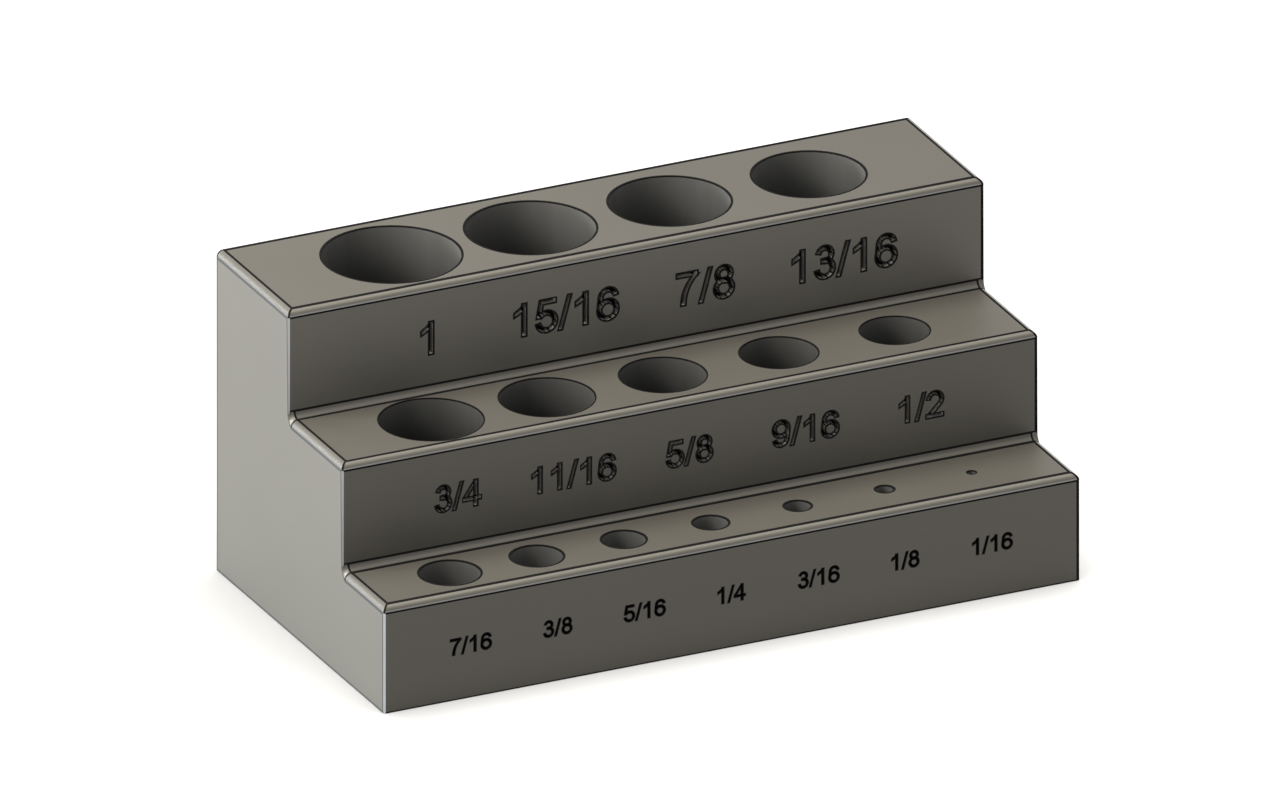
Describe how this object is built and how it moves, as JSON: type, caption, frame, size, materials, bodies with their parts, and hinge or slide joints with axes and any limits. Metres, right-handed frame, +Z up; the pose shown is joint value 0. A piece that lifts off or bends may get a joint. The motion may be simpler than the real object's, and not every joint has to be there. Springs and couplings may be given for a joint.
{
  "type": "drill bit index",
  "caption": "Stepped solid block with rows of blind bores that hold drill bits upright, each bore's size cut into the face below it.",
  "frame": {"origin": "middle of the base, on the surface that the block stands on", "axes": "+X along the block, from the widest bore of a step to its narrowest; +Y from the lowest step to the highest; +Z up, out of the bores"},
  "size_m": [0.1396, 0.0712, 0.0635],
  "materials": {
    "block": "satin"
  },
  "bodies": {
    "root": {"index_block": "block"}
  },
  "joints": []
}
